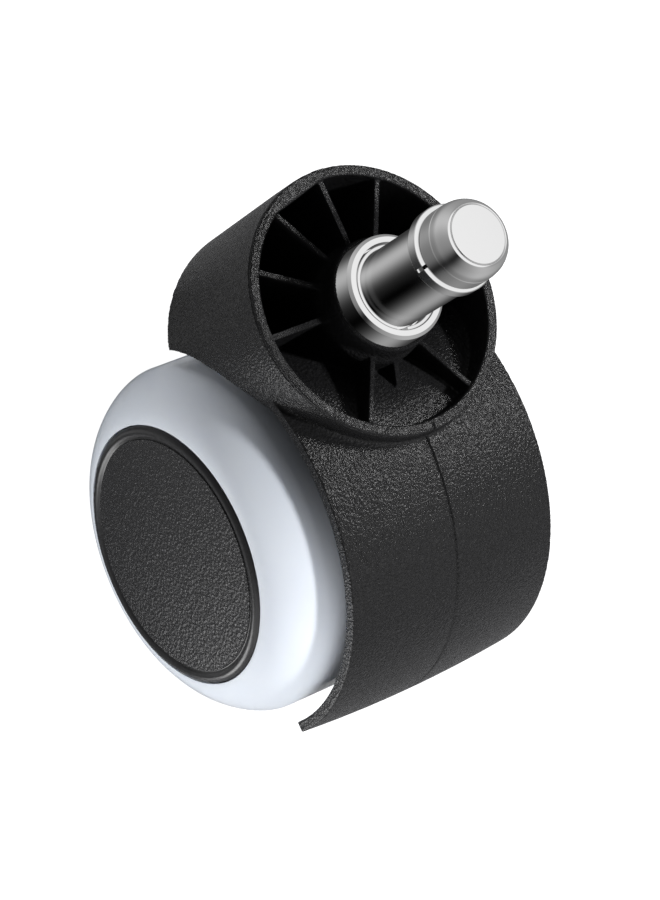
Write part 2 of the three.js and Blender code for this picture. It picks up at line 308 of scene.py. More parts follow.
def bake_modifiers(obj):
    graph = bpy.context.evaluated_depsgraph_get()
    mesh = bpy.data.meshes.new_from_object(obj.evaluated_get(graph))
    obj.modifiers.clear()
    obj.data = mesh


def combine(target, other, operation):
    modifier = target.modifiers.new("combine", "BOOLEAN")
    modifier.operation = operation
    modifier.solver = "MANIFOLD"
    modifier.object = other
    bake_modifiers(target)
    bpy.data.objects.remove(other)
    return target


def join(target, other):
    return combine(target, other, "UNION")


def cut(target, other):
    return combine(target, other, "DIFFERENCE")


def overlap(target, other):
    return combine(target, other, "INTERSECT")


def smooth_shading(obj, sharp_from=None):
    """Smooth shading, except at edges sharper than an angle in degrees."""
    for polygon in obj.data.polygons:
        polygon.use_smooth = True
    if sharp_from is not None:
        obj.data.set_sharp_from_angle(angle=math.radians(sharp_from))
    return obj


# ---- Material helpers ----

class Nodes:
    """Short names for building a material's nodes. Sizes and depths are in millimetres."""

    def __init__(self, name):
        self.material = bpy.data.materials.new(name)
        self.material.use_nodes = True
        self.tree = self.material.node_tree
        self.shader = self.tree.nodes["Principled BSDF"]

    def add(self, kind, **values):
        """A new node. Each value sets the node's property of that name, or else its input."""
        node = self.tree.nodes.new(kind)
        for key, value in values.items():
            if hasattr(node, key):
                setattr(node, key, value)
            else:
                node.inputs[key].default_value = value
        return node

    def link(self, source, target):
        self.tree.links.new(source, target)

    def set(self, name, value):
        self.shader.inputs[name].default_value = value

    def feed(self, name, source):
        self.link(source, self.shader.inputs[name])

    def coordinates(self):
        return self.add("ShaderNodeTexCoord").outputs["Object"]

    def split(self, vector):
        node = self.add("ShaderNodeSeparateXYZ")
        self.link(vector, node.inputs[0])
        return node.outputs

    def math(self, operation, a, b=None):
        node = self.add("ShaderNodeMath", operation=operation)
        for socket, value in zip(node.inputs, (a, b)):
            if isinstance(value, (int, float)):
                socket.default_value = value
            elif value is not None:
                self.link(value, socket)
        return node.outputs[0]

    def scaled(self, value, gain, offset):
        return self.math("ADD", self.math("MULTIPLY", value, gain), offset)

    def between(self, factor, first, second):
        """first where the factor is 0, second where it is 1."""
        step = self.math("SUBTRACT", second, first)
        return self.math("ADD", first, self.math("MULTIPLY", factor, step))

    def from_swivel_axis(self, point):
        across = self.math("POWER", point["X"], 2.0)
        along = self.math("POWER", point["Y"], 2.0)
        return self.math("SQRT", self.math("ADD", across, along))

    def noise(self, vector, size, detail=2.0, roughness=0.5):
        node = self.add("ShaderNodeTexNoise", Scale=1 / (size * MM), Detail=detail, Roughness=roughness)
        self.link(vector, node.inputs["Vector"])
        return node.outputs["Fac"]

    def pebbles(self, vector, size, smoothness):
        node = self.add("ShaderNodeTexVoronoi", feature="SMOOTH_F1", Scale=1 / (size * MM))
        node.inputs["Smoothness"].default_value = smoothness
        self.link(vector, node.inputs["Vector"])
        return node.outputs["Distance"]

    def ramp(self, value, low, high, out_low=0.0, out_high=1.0):
        node = self.add("ShaderNodeMapRange", interpolation_type="SMOOTHSTEP")
        for key, number in (("From Min", low), ("From Max", high), ("To Min", out_low), ("To Max", out_high)):
            node.inputs[key].default_value = number
        self.link(value, node.inputs["Value"])
        return node.outputs["Result"]

    def ramp_mm(self, value, low, high, out_low=0.0, out_high=1.0):
        return self.ramp(value, low * MM, high * MM, out_low, out_high)

    def mix_colour(self, factor, first, second):
        node = self.add("ShaderNodeMix", data_type="RGBA")
        self.link(factor, node.inputs["Factor"])
        node.inputs[6].default_value = (*first, 1)
        node.inputs[7].default_value = (*second, 1)
        return node.outputs[2]

    def bump(self, height, depth):
        node = self.add("ShaderNodeBump", Strength=1.0, Distance=depth * MM)
        self.link(height, node.inputs["Height"])
        return node.outputs["Normal"]


def shade(colour, factor):
    return tuple(c * factor for c in colour)


# ---- Nylon and polyurethane ----

GRAIN_PASS = "grain"  # marks the grained nylon for clean_smooth_parts()
# Painted shade: the cup's floor and walls reflect less towards the socket, so its deep inside stays dark.
CUP_SHADE_DEEP = (12.0, 0.03)  # radius, and how much the cup's floor and walls shine there
CUP_SHADE_RIM = (17.4, 0.42)


def grained_nylon(name, colour, grain, depth, roughness, shine=None):
    """Moulded nylon with a leathery spark-eroded grain, slightly uneven in colour and gloss, with lighter
    specks painted into its colour as glints.
    """
    n = Nodes(name)
    where = n.coordinates()
    patches = n.noise(where, 9.0, detail=3.0)
    # Painted highlight: the specks lighten the colour the way glints would, and the broad patches are uneven
    # tone.
    glint_specks = n.noise(where, grain * 0.9, detail=1.0)
    tint = n.math("ADD", n.math("MULTIPLY", patches, 0.3), n.ramp(glint_specks, 0.5, 0.7, 0.0, 6.0))
    n.feed("Base Color", n.mix_colour(tint, shade(colour, 0.8), shade(colour, 1.15)))
    fine = n.noise(where, grain * 0.6, roughness=0.6)
    height = n.math("ADD", n.pebbles(where, grain, 0.35), n.math("MULTIPLY", fine, 0.8))
    n.feed("Normal", n.bump(height, depth))
    n.feed("Roughness", n.ramp(glint_specks, 0.3, 0.7, roughness + 0.1, roughness - 0.08))
    # The shine can carry painted shade, as the cup's does.
    if shine is not None:
        n.feed("Specular IOR Level", shine(n, where))
    n.add("ShaderNodeOutputAOV", aov_name=GRAIN_PASS, Value=1)
    return n.material


def cup_painted_shade(n, where):
    """Painted shade: the cup's floor and walls reflect less and less towards the socket, so its deep inside
    stays dark.
    """
    radius = n.from_swivel_axis(n.split(where))
    return n.ramp_mm(radius, CUP_SHADE_DEEP[0], CUP_SHADE_RIM[0], CUP_SHADE_DEEP[1], CUP_SHADE_RIM[1])


def smooth_nylon(name, colour, roughness):
    n = Nodes(name)
    where = n.coordinates()
    patches = n.noise(where, 6.0, detail=3.0)
    n.feed("Base Color", n.mix_colour(patches, shade(colour, 0.85), shade(colour, 1.15)))
    fine = n.noise(where, 0.25)
    n.feed("Normal", n.bump(fine, 0.006))
    n.feed("Roughness", n.ramp(fine, 0.3, 0.7, roughness - 0.05, roughness + 0.06))
    return n.material


def milky_polyurethane():
    """A little light goes into it, and its gloss is very slightly uneven."""
    n = Nodes("soft_tread")
    where = n.coordinates()
    cloud = n.noise(where, 14.0)
    n.feed("Base Color", n.mix_colour(cloud, (0.75, 0.80, 0.88), (0.82, 0.87, 0.94)))
    n.set("Subsurface Weight", 0.15)
    n.set("Subsurface Radius", (1.2, 1.3, 1.5))
    n.set("Subsurface Scale", MM)
    skin = n.noise(where, 3.5)
    n.feed("Normal", n.bump(skin, 0.008))
    n.feed("Roughness", n.ramp(skin, 0.3, 0.7, 0.11, 0.17))
    return n.material


# ---- Metal ----
# Polished metal mirrors a whole studio, so its material paints one of its own: a painted reflection that
# glows as an emission. Directions are those of the mirrored ray, a bearing is its angle round the swivel axis
# in degrees, and a lobe is a soft peak.

# Painted reflection: the lights, the dark band, the back, the ceiling and the glows below are those of the
# studio painted into the metal.
MIRROR_LIGHTS = ((-160.0, 33.0, 0.42), (17.0, 34.0, 0.30))  # bearing, width, strength
MIRROR_DARK = (-62.0, 21.0)  # bearing, width
MIRROR_DARK_DEPTH = 0.93
MIRROR_BACK = 0.05
MIRROR_CEILING = 0.86
CEILING_FROM, CEILING_TO = 0.68, 0.79
DOWN_TO, LEVEL_FROM = -0.75, -0.35
HEAD_BANDS, HEAD_GLOW = 0.3, 0.15
LEVEL_BANDS, LEVEL_GLOW = 0.6, 0.24
RING_GAP_SHADE = 0.92


def turned_metal(name, colour, roughness, line, depth, mirrored):
    """Turned or ground metal. Fine lines run round the part, so what it mirrors is smeared along the part,
    and its tone varies a little. mirrored is the share of its look that is a painted reflection of the
    studio, glowing as an emission."""
    n = Nodes(name)
    where = n.coordinates()
    point = n.split(where)
    along = n.add("ShaderNodeCombineXYZ")
    n.link(point["Z"], along.inputs["Z"])
    lines = n.noise(along.outputs[0], line, detail=3.0)
    smudges = n.noise(where, 3.0, detail=3.0)
    n.feed("Base Color", n.mix_colour(smudges, shade(colour, 0.94), colour))
    n.set("Metallic", 1.0)
    n.feed("Normal", n.bump(lines, depth))
    n.feed("Roughness", n.ramp(smudges, 0.3, 0.7, roughness * 0.85, roughness * 1.2))
    # Painted reflection: the metal glows with the studio it would mirror, and this glow makes most of its
    # look.
    glow = n.add("ShaderNodeEmission")
    n.link(painted_studio_reflection(n, point), glow.inputs["Strength"])
    mix = n.add("ShaderNodeMixShader", Fac=mirrored)
    n.link(n.shader.outputs[0], mix.inputs[1])
    n.link(glow.outputs[0], mix.inputs[2])
    n.link(mix.outputs[0], n.tree.nodes["Material Output"].inputs["Surface"])
    return n.material


def lobe(n, bearing, centre, width):
    """1 where the bearing is at the centre, falling smoothly to 0 on both sides."""
    off = n.math("WRAP", n.math("SUBTRACT", bearing, centre), 180.0)
    off.node.inputs[2].default_value = -180.0
    shape = n.math("POWER", n.math("DIVIDE", off, width), 2.0)
    return n.math("EXPONENT", n.math("MULTIPLY", shape, -1.0))


def open_to_light(n, point):
    """Painted shade: dark in the narrow gap behind the grip ring, where no light gets in, and 1 everywhere
    else.
    """
    ring_bore = RING_R - RING_THICK
    inside = n.ramp_mm(n.from_swivel_axis(point), ring_bore - 0.25, ring_bore, 1.0, 0.0)
    below_head = n.ramp_mm(point["Z"], HEAD_END_Z + 0.1, HEAD_END_Z + 0.4, 1.0, 0.0)
    above_body = n.ramp_mm(point["Z"], GROOVE_END_Z - 0.4, GROOVE_END_Z - 0.1)
    hidden = n.math("MULTIPLY", inside, n.math("MULTIPLY", below_head, above_body))
    return n.scaled(hidden, -RING_GAP_SHADE, 1.0)


def painted_studio_reflection(n, point):
    """Painted reflection: the brightness of the studio that the metal mirrors, given to the metal as a glow.
    Looking down it mirrors two soft upright lights, one on each side, which make long bands. Looking up it
    mirrors a pale ceiling."""
    ray = n.split(n.add("ShaderNodeTexCoord").outputs["Reflection"])
    bearing = n.math("MULTIPLY", n.math("ARCTAN2", ray["Y"], ray["X"]), 180 / math.pi)
    bands = n.math("MULTIPLY", n.math("ADD", ray["Y"], 1.0), MIRROR_BACK / 2)
    for centre, width, strength in MIRROR_LIGHTS:
        bands = n.math("ADD", bands, n.math("MULTIPLY", lobe(n, bearing, centre, width), strength))
    head = n.ramp_mm(point["Z"], HEAD_END_Z - 0.3, HEAD_END_Z + 0.1)
    level = n.between(head, bands, n.scaled(bands, HEAD_BANDS, HEAD_GLOW))
    sideways = n.ramp(ray["Z"], DOWN_TO, LEVEL_FROM)
    level = n.between(sideways, level, n.scaled(bands, LEVEL_BANDS, LEVEL_GLOW))
    level = n.math("MULTIPLY", level, n.scaled(lobe(n, bearing, *MIRROR_DARK), -MIRROR_DARK_DEPTH, 1.0))
    level = n.between(n.ramp(ray["Z"], CEILING_FROM, CEILING_TO), level, MIRROR_CEILING)
    return n.math("MULTIPLY", level, open_to_light(n, point))


# ---- Hood ----

def turret_block():
    profile = [(0, SKIRT_Z), (TURRET_R, SKIRT_Z), (TURRET_R, DRAFT_Z), (TURRET_RIM_R, RIM_Z), (0, RIM_Z)]
    return turned("turret", profile, ROUND_STEPS)


def crowned_round():
    """The fender's outer form, fuller at the middle than at its edges."""
    steps = 24
    profile = [(0, -FENDER_HALF)]
    for i in range(steps + 1):
        across = 2 * i / steps - 1
        radius = FENDER_MIDDLE_R + (FENDER_EDGE_R - FENDER_MIDDLE_R) * across * across
        profile.append((radius, across * FENDER_HALF))
    profile.append((0, FENDER_HALF))
    return turned_on_axle("crowned", profile)


def fender():
    """The crowned form, kept above and behind the axle, and in the turret's front. There it ends just
    inside the turret's faces, so that no two faces coincide."""
    wide = FENDER_HALF + PAST
    keep = slab("tail", (AXLE_X, -wide, AXLE_Z - TAIL_DROP), (AXLE_X + FENDER_MIDDLE_R + PAST, wide, RIM_Z))
    keep = join(keep, slab("crest", (0, -wide, AXLE_Z), (AXLE_X + PAST, wide, RIM_Z)))
    keep = join(keep, rod_up("front", TURRET_R - 0.03, SKIRT_Z + 0.02, RIM_Z + 0.5))
    return overlap(crowned_round(), keep)


def ribs():
    """All the ribs as one star-shaped outline, which is simpler to join than one block for each."""
    hub_r, tip_r = 3, TURRET_INNER_R + 0.4
    outline = []
    for angle in RIB_ANGLES:
        along, across = along_and_across(angle)
        side = across * RIB_THICK / 2
        outline += [along * hub_r - side, along * tip_r - side, along * tip_r + side, along * hub_r + side]
    return prism("ribs", [tuple(p) for p in outline], FLOOR_Z - 0.5, RIB_TOP_Z, "Z")


def wall_flat():
    """The cup's wall is flat on its inside between two of the ribs."""
    arc = arc_points(TURRET_INNER_R + 0.4, 180, 210, 8)
    ends = arc_points(TURRET_INNER_R, 210, 180, 1)
    return prism("flat", arc + ends, FLOOR_Z - 0.3, RIM_Z - 0.02, "Z")


def wheel_space():
    half = FENDER_HALF + 8
    space = cut(rod_on_axle("under_fender", FENDER_INNER_R, half), turret_block())
    return join(space, rod_on_axle("arch", ARCH_R, half))


def central_web():
    """The web between the wheels: it hangs from the fender and carries the axle."""
    centre = (AXLE_X, AXLE_Z)
    roof = arc_points(FENDER_INNER_R + 0.3, 28, 150, 60, centre)
    front_foot = (-4, SOCKET_END_Z + 0.8)
    under_axle = arc_points(WEB_BOSS_R - 0.5, 235, 345, 20, centre)
    web = prism("web", roof + [front_foot] + under_axle, -WEB_THICK / 2, WEB_THICK / 2)
    return join(web, rod_on_axle("web_boss", WEB_BOSS_R, WEB_BOSS_HALF))


def socket_boss():
    profile = [
        (0, SOCKET_END_Z), (SOCKET_BOSS_R, SOCKET_END_Z), (SOCKET_BOSS_R, RIB_TOP_Z - 1),
        (SOCKET_LIP_R, RIB_TOP_Z), (SOCKET_LIP_R, SOCKET_LIP_Z), (0, SOCKET_LIP_Z),
    ]
    return turned("socket_boss", rounded(profile, [0, 1, 0.5, 0.5, 0.3, 0], 4), ROUND_STEPS)


def rear_gusset():
    """A low ridge from the socket down into the fender's crest."""
    side, foot = SOCKET_BOSS_R - 1, SOCKET_BOSS_R + 3.6
    top = RIB_TOP_Z
    outline = [(side, top - 0.6), (foot, top - 3.3), (foot, top - 5), (side, top - 6.5)]
    return prism("gusset", outline, -RIB_THICK / 2, RIB_THICK / 2)


def hood_shape():
    cup = cut(rod_up("cup", TURRET_INNER_R, FLOOR_Z, RIM_Z + PAST), crowned_round())
    shell = cut(join(turret_block(), fender()), cup)
    shell = join(shell, ribs())
    shell = join(shell, wall_flat())
    shell = cut(shell, wheel_space())
    shell = join(shell, central_web())
    shell = join(shell, rear_gusset())
    shell = join(shell, socket_boss())
    shell = cut(shell, rod_up("socket_hole", SLEEVE_R + SEAT, SLEEVE_LOW.z - 0.2, SOCKET_LIP_Z + PAST))
    return cut(shell, rod_on_axle("axle_hole", AXLE_R + SEAT, WEB_BOSS_HALF + PAST))


def hood_piece():
    """The hood's shape as one even mesh, with its corners relaxed and its fine lines pressed in."""
    hood = hood_shape()
    hood.name = hood.data.name = "hood_shell"
    remesh = hood.modifiers.new("voxels", "REMESH")
    remesh.mode = "VOXEL"
    remesh.voxel_size = VOXEL
    bake_modifiers(hood)
    mesh = hood.data
    edges = np.empty(len(mesh.edges) * 2, dtype=np.int32)
    mesh.edges.foreach_get("vertices", edges)
    edges = edges.reshape(-1, 2)
    points = smoothed(mesh_points(mesh), edges, 1.0, RELAX_STEPS)
    points = smoothed(points, edges, crease_weights(points), CREASE_STEPS)
    set_mesh_points(mesh, points)
    refine(mesh)
    press_lines(mesh)
    return smooth_shading(hood)


def mesh_points(mesh):
    points = np.empty(len(mesh.vertices) * 3)
    mesh.vertices.foreach_get("co", points)
    return points.reshape(-1, 3)


def set_mesh_points(mesh, points):
    mesh.vertices.foreach_set("co", points.ravel())
    mesh.update()


def smoothed(points, edges, weights, steps):
    """Each step moves every point by that share of the way to the middle of its neighbours, times its
    own weight."""
    count = len(points)
    degree = np.bincount(edges.ravel(), minlength=count)[:, None]
    for step in steps:
        total = np.zeros_like(points)
        for axis in range(3):
            total[:, axis] = (
                np.bincount(edges[:, 0], points[edges[:, 1], axis], minlength=count)
                + np.bincount(edges[:, 1], points[edges[:, 0], axis], minlength=count)
            )
        points = points + (total / degree - points) * weights * step
    return points


def crease_weights(points):
    """1 in the crease where the turret's wall meets the fender, for a soft fillet there."""
    x, y, z = points.T
    from_turret = np.abs(np.hypot(x, y) - TURRET_R)
    from_fender = np.abs(np.hypot(x - AXLE_X, z - AXLE_Z) - (FENDER_MIDDLE_R - 0.3))
    near = np.clip(1 - np.maximum(from_turret, from_fender) / CREASE_REACH, 0, 1)
    near[(z < CREASE_LOW_Z) | (np.abs(y) > FENDER_HALF - 0.6)] = 0
    return near[:, None]


def seam_zone(points, half):
    """Points near the parting line on the hood's outside."""
    x, y, z = points.T
    from_axle = np.hypot(x - AXLE_X, z - AXLE_Z)
    out_of_cup = np.hypot(x, y) > TURRET_INNER_R + 0.4
    outside = (from_axle > FENDER_INNER_R + 1.2) | (z > RIM_Z - 0.6)
    return (np.abs(y) < half) & out_of_cup & outside & (x > 0)


def rim_zone(points, half):
    """Points near the fine groove just below the turret's rim, on its outside."""
    x, y, z = points.T
    return (np.hypot(x, y) > TURRET_RIM_R - 0.35) & (np.abs(z - RIM_GROOVE_Z) < half)


def refine(mesh):
    """Splits the mesh finer where the parting line and the rim's groove will be."""
    points = mesh_points(mesh)
    near = seam_zone(points, 0.55) | rim_zone(points, 0.45)
    chosen = set(np.nonzero(near)[0].tolist())
    bm = bmesh.new()
    bm.from_mesh(mesh)
    bm.verts.ensure_lookup_table()
    picked = dict.fromkeys(e for i in chosen for e in bm.verts[i].link_edges)
    picked = [e for e in picked if e.verts[0].index in chosen and e.verts[1].index in chosen]
    bmesh.ops.subdivide_edges(bm, edges=picked, cuts=1, use_grid_fill=True)
    bm.to_mesh(mesh)
    bm.free()


def dent(off, width, depth):
    return np.exp(-(off / width) ** 2) * depth


def press_lines(mesh):
    """Presses the parting line and the rim's groove into the surface along its normals."""
    points = mesh_points(mesh)
    normals = np.empty(len(mesh.vertices) * 3)
    mesh.vertex_normals.foreach_get("vector", normals)
    x, y, z = points.T
    seam = dent(y, SEAM_WIDE, SEAM_DEEP) - dent(y - SEAM_LIP_Y, SEAM_WIDE, SEAM_LIP_RISE)
    rim = dent(z - RIM_GROOVE_Z, RIM_GROOVE_WIDE, RIM_GROOVE_DEEP)
    depth = np.where(seam_zone(points, 0.9), seam, 0)
    depth = np.maximum(depth, np.where(rim_zone(points, 0.6), rim, 0))
    set_mesh_points(mesh, points - normals.reshape(-1, 3) * depth[:, None])


# ---- Wheels: drawn as the +Y wheel, and turned round for the -Y one ----

def side_sign(side):
    return 1 if side == "right" else -1


def wheel_piece(name, profile, side, sharp_from=35):
    sign = side_sign(side)
    piece = turned_on_axle(f"{name}_{side}", [(r, sign * y) for r, y in profile])
    return smooth_shading(piece, sharp_from)


def node_on_axle(node):
    """The outer radius of a round CAD piece on the axle, and how far its two ends are from the middle."""
    low, high = box_mm(node)
    near, far = sorted((abs(low.y), abs(high.y)))
    return (high.z - low.z) / 2, near, far


def sidewall():
    steps = 28
    points = []
    for i in range(steps + 1):
        t = math.sin(math.pi / 2 * i / steps)
        fall = (1 - t ** SHOULDER_POWER) ** (1 / SHOULDER_POWER)
        radius = TREAD_LIP_R + (WHEEL_R - TREAD_LIP_R) * fall
        points.append((radius, SHOULDER_Y + (CAP_EDGE_Y - SHOULDER_Y) * t))
    return points


def tread_piece(side):
    inner = TREAD_LOW.y
    seat_r, seat_y = CORE_R + 0.1, CORE_HIGH.y + 0.1
    corner = arc_points(TREAD_CORNER_R, -90, 0, 8, (WHEEL_R - TREAD_CORNER_R, inner + TREAD_CORNER_R))
    profile = [(seat_r, inner)] + corner + sidewall() + [(TREAD_LIP_R, seat_y), (seat_r, seat_y)]
    return wheel_piece("tyre", profile, side, 40)


def cap_centre():
    """The cap's grained centre, which is slightly domed, and the fine groove round it."""
    steps = 12
    end_r = CAP_GROOVE_R - 0.16
    top = CAP_HIGH.y
    dome = [(0, top)]
    for i in range(1, steps + 1):
        r = end_r * i / steps
        dome.append((r, top - (top - CAP_FACE_Y) * (r / end_r) ** 2))
    return dome + [(CAP_GROOVE_R - 0.06, CAP_FACE_Y - 0.2), (CAP_GROOVE_R + 0.04, CAP_FACE_Y - 0.22)]


def cap_border():
    """The cap's smooth border: rounded, and falling away to the edge."""
    steps = 16
    start_r = CAP_GROOVE_R + 0.2
    points = []
    for i in range(steps + 1):
        t = i / steps
        rise = 0.34 * math.sin(math.pi * min(1.0, t * 1.08)) ** 0.7 - 0.42 * t ** 3
        points.append((start_r + (CAP_R - start_r) * t, CAP_BORDER_FOOT_Y + rise))
    return points


def cap_piece(side):
    bore_r, end_y = SPIGOT_R - SPIGOT_WALL, CAP_BACK_Y - SPIGOT_LONG
    back = [(CAP_R, CAP_BACK_Y), (SPIGOT_R, CAP_BACK_Y), (SPIGOT_R, end_y), (bore_r, end_y)]
    profile = cap_centre() + cap_border() + back + [(bore_r, CAP_BACK_Y), (0, CAP_BACK_Y)]
    return wheel_piece("cap", profile, side)


def grain_cap_centre(cap, grained):
    cap.data.materials.append(grained)
    for polygon in cap.data.polygons:
        c = polygon.center / MM
        radius = math.hypot(c.x - AXLE_X, c.z - AXLE_Z)
        if radius < CAP_GROOVE_R - 0.05 and abs(c.y) > CAP_EDGE_Y - 0.1:
            polygon.material_index = 1


def core_piece(side):
    """A hub and a rim joined by a disc near the wheel's outer face, with spokes behind the disc."""
    inner, face = CORE_LOW.y, CORE_HIGH.y
    bush_r = 5.7
    rim_r, seat_r = 18.8, 17.2
    disc_in, disc_out = 14, 16.4
    hub_end = box_mm("wheel_bush_right")[1].y
    profile = [
        (bush_r, inner), (HUB_R, inner), (HUB_R, disc_in), (rim_r, disc_in), (rim_r, inner),
        (CORE_R, inner), (CORE_R, face), (seat_r, face), (seat_r, disc_out),
        (HUB_R, disc_out), (HUB_R, hub_end), (bush_r, hub_end),
    ]
    piece = wheel_piece("wheel_body", rounded(profile, 0.35, 3), side)
    low, high = sorted((side_sign(side) * (inner + 1), side_sign(side) * (disc_in + 0.5)))
    for k in range(SPOKES):
        along, across = along_and_across(90 - 360 * k / SPOKES)
        side_step = across * SPOKE_THICK / 2
        start, end = along * (HUB_R - 0.5), along * (rim_r + 0.5)
        corners = [start - side_step, start + side_step, end + side_step, end - side_step]
        outline = [(AXLE_X + c.x, AXLE_Z + c.y) for c in corners]
        piece = join(piece, prism("spoke", outline, low, high))
    return smooth_shading(piece, 35)


def ring_piece(name, node, side):
    outer, near, far = node_on_axle(node)
    bore = AXLE_R + 0.05
    profile = [(bore, near), (outer, near), (outer, far), (bore, far)]
    return wheel_piece(name, rounded(profile, 0.12, 3), side)


def bush_piece(side):
    flange_r, near, far = node_on_axle(f"wheel_bush_{side}")
    flange_y = near + 0.5
    bore, body = AXLE_R + 0.06, 5.6
    flange = [(bore, near), (flange_r, near), (flange_r, flange_y)]
    profile = flange + [(body, flange_y), (body, far), (bore, far)]
    return wheel_piece("bush", rounded(profile, 0.1, 3), side)


def axle_piece():
    half = AXLE_HIGH.y
    profile = [(0, -half), (AXLE_R, -half), (AXLE_R, half), (0, half)]
    return smooth_shading(turned_on_axle("axle_pin", rounded(profile, [0, 0.6, 0.6, 0], 3), COARSE_STEPS), 30)


# ---- Stem and socket ----

def stem_piece():
    groove_top, groove_foot = SNAP_HIGH.z + 0.1, SNAP_LOW.z - 0.1
    # Each point of the profile, and how far its corner is rounded
    corners = [
        ((0, 0), 0), ((HEAD_FACE_R - 0.12, 0), 0.03), ((HEAD_FACE_R - 0.02, -0.14), 0.03),
        ((HEAD_FACE_R + 0.1, -0.06), 0.05), ((HEAD_R - 1.05, -0.17), 0.2), ((HEAD_R - 0.5, -0.85), 0.45),
        ((HEAD_R - 0.12, -1.8), 0.5), ((HEAD_R, HEAD_LINE_Z), 0.08),
        ((HEAD_R - 0.12, HEAD_LINE_Z - 0.1), 0.04), ((HEAD_R, HEAD_LINE_Z - 0.2), 0.08),
        ((HEAD_R, HEAD_END_Z), 0.12), ((GROOVE_R, HEAD_END_Z), 0.1), ((GROOVE_R, GROOVE_END_Z), 0.1),
        ((STEM_R, GROOVE_END_Z - 0.2), 0.1), ((STEM_R, groove_top), 0.1), ((SNAP_GROOVE_R, groove_top), 0.1),
        ((SNAP_GROOVE_R, groove_foot), 0.1), ((STEM_R, groove_foot), 0.1), ((STEM_R, STEM_LOW.z + 1.4), 0.1),
        ((STEM_R - 1.4, STEM_LOW.z + 0.25), 0.1), ((0, STEM_LOW.z), 0),
    ]
    profile, radii = [list(column) for column in zip(*corners)]
    return smooth_shading(turned("stem_pin", rounded(profile, radii, 5), STEM_STEPS), 30)


def sleeve_piece():
    bore = STEM_R + 0.06
    top, mouth_foot = SLEEVE_HIGH.z, SNAP_LOW.z - 0.2
    corners = [
        ((SLEEVE_FACE_R, top), 0.06), ((SLEEVE_MOUTH_R, top), 0.05),
        ((SLEEVE_MOUTH_R - 0.02, mouth_foot), 0.03), ((bore, mouth_foot), 0.03),
        ((bore, SLEEVE_LOW.z), 0.2), ((SLEEVE_R, SLEEVE_LOW.z), 0.2), ((SLEEVE_R, top - 0.4), 0.12),
    ]
    profile, radii = [list(column) for column in zip(*corners)]
    return smooth_shading(turned("sleeve_shell", rounded(profile, radii, 4), STEM_STEPS), 30)


def split_ring(name, centre_x, radii, heights, edge, gap, gap_degrees):
    """A spring ring with a gap in it, its edges rounded."""
    inner, outer = radii
    low, high = heights
    profile = [(inner, low), (outer, low), (outer, high), (inner, high)]
    ring = turned(name, rounded(profile, edge, 4), STEM_STEPS, "Z", (centre_x, 0, 0))
    along, across = along_and_across(gap_degrees)
    side, far = across * gap / 2, along * (outer + PAST)
    middle = Vector((centre_x, 0))
    outline = [tuple(middle + p) for p in (side, -side, far - side, far + side)]
    return smooth_shading(cut(ring, prism("gap", outline, low - PAST, high + PAST, "Z")), 40)


def grip_band():
    centre_x = (RING_LOW.x + RING_HIGH.x) / 2
    heights = (RING_LOW.z, RING_HIGH.z)
    return split_ring("grip_band", centre_x, (RING_R - RING_THICK, RING_R), heights, 0.14, 0.5, -80)


def snap_ring():
    """The ring in the sleeve's mouth. It lies a little off centre."""
    radii = (STEM_R + 0.13, SLEEVE_MOUTH_R - 0.15)
    heights = (SNAP_LOW.z, SLEEVE_HIGH.z - 0.1)
    return split_ring("snap_ring", 0.1, radii, heights, 0.1, 1.6, -20)


def disc_piece():
    low, high = DISC_LOW, DISC_HIGH
    profile = [(0, low.z), (high.x, low.z), (high.x, high.z), (0, high.z)]
    return smooth_shading(turned("thrust_plate", rounded(profile, 0.2, 3), COARSE_STEPS), 30)


# ---- Build ----

def slot_materials():
    """The material of each slot in the record."""
    return {
        "hood_nylon": grained_nylon("hood_nylon", (0.011, 0.011, 0.0115), 0.4, 0.105, 0.31, cup_painted_shade),
        "cap_nylon": smooth_nylon("cap_border", (0.024, 0.024, 0.025), 0.3),
        "core_nylon": smooth_nylon("core_nylon", (0.014, 0.014, 0.015), 0.5),
        "soft_tread": milky_polyurethane(),
        "stem_chrome": turned_metal("stem_chrome", (0.80, 0.80, 0.81), 0.16, 0.12, 0.0012, 0.96),
        "spring_steel": turned_metal("spring_steel", (0.80, 0.80, 0.81), 0.22, 0.1, 0.003, 0.9),
        "sleeve_steel": turned_metal("sleeve_steel", (0.70, 0.70, 0.71), 0.28, 0.1, 0.004, 0.93),
        "acetal": smooth_nylon("acetal", (0.7, 0.68, 0.62), 0.4),
    }


def build():
    materials = slot_materials()
    cap_grain = grained_nylon("cap_grain", (0.02, 0.02, 0.021), 0.45, 0.11, 0.36)

    def place(obj, body, node, slot):
        """Rides a finished piece on its body in place of the CAD node of the same part."""
        obj.data.transform(Matrix.Scale(MM, 4))
        obj.data.materials.clear()
        obj.data.materials.append(materials[slot])
        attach(obj, body)
        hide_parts(node)
        return obj

    place(hood_piece(), "hood", "hood", "hood_nylon")
    place(sleeve_piece(), "hood", "socket_sleeve", "sleeve_steel")
    place(disc_piece(), "hood", "thrust_disc", "sleeve_steel")
    place(axle_piece(), "hood", "axle", "sleeve_steel")
    place(stem_piece(), "stem", "stem", "stem_chrome")
    place(snap_ring(), "stem", "stem_snap_ring", "spring_steel")
    place(grip_band(), "grip_ring", "grip_ring", "spring_steel")
    for side in ("left", "right"):
        body = f"wheel_{side}"
        place(tread_piece(side), body, f"tread_{side}", "soft_tread")
        place(core_piece(side), body, f"wheel_core_{side}", "core_nylon")
        grain_cap_centre(place(cap_piece(side), body, f"hub_cap_{side}", "cap_nylon"), cap_grain)
        place(bush_piece(side), body, f"wheel_bush_{side}", "acetal")
        for ring in ("washer", "clip"):
            node = f"axle_{ring}_{side}"
            place(ring_piece(ring, node, side), "hood", node, "spring_steel")


# ---- Light, floor and camera: these are in metres ----

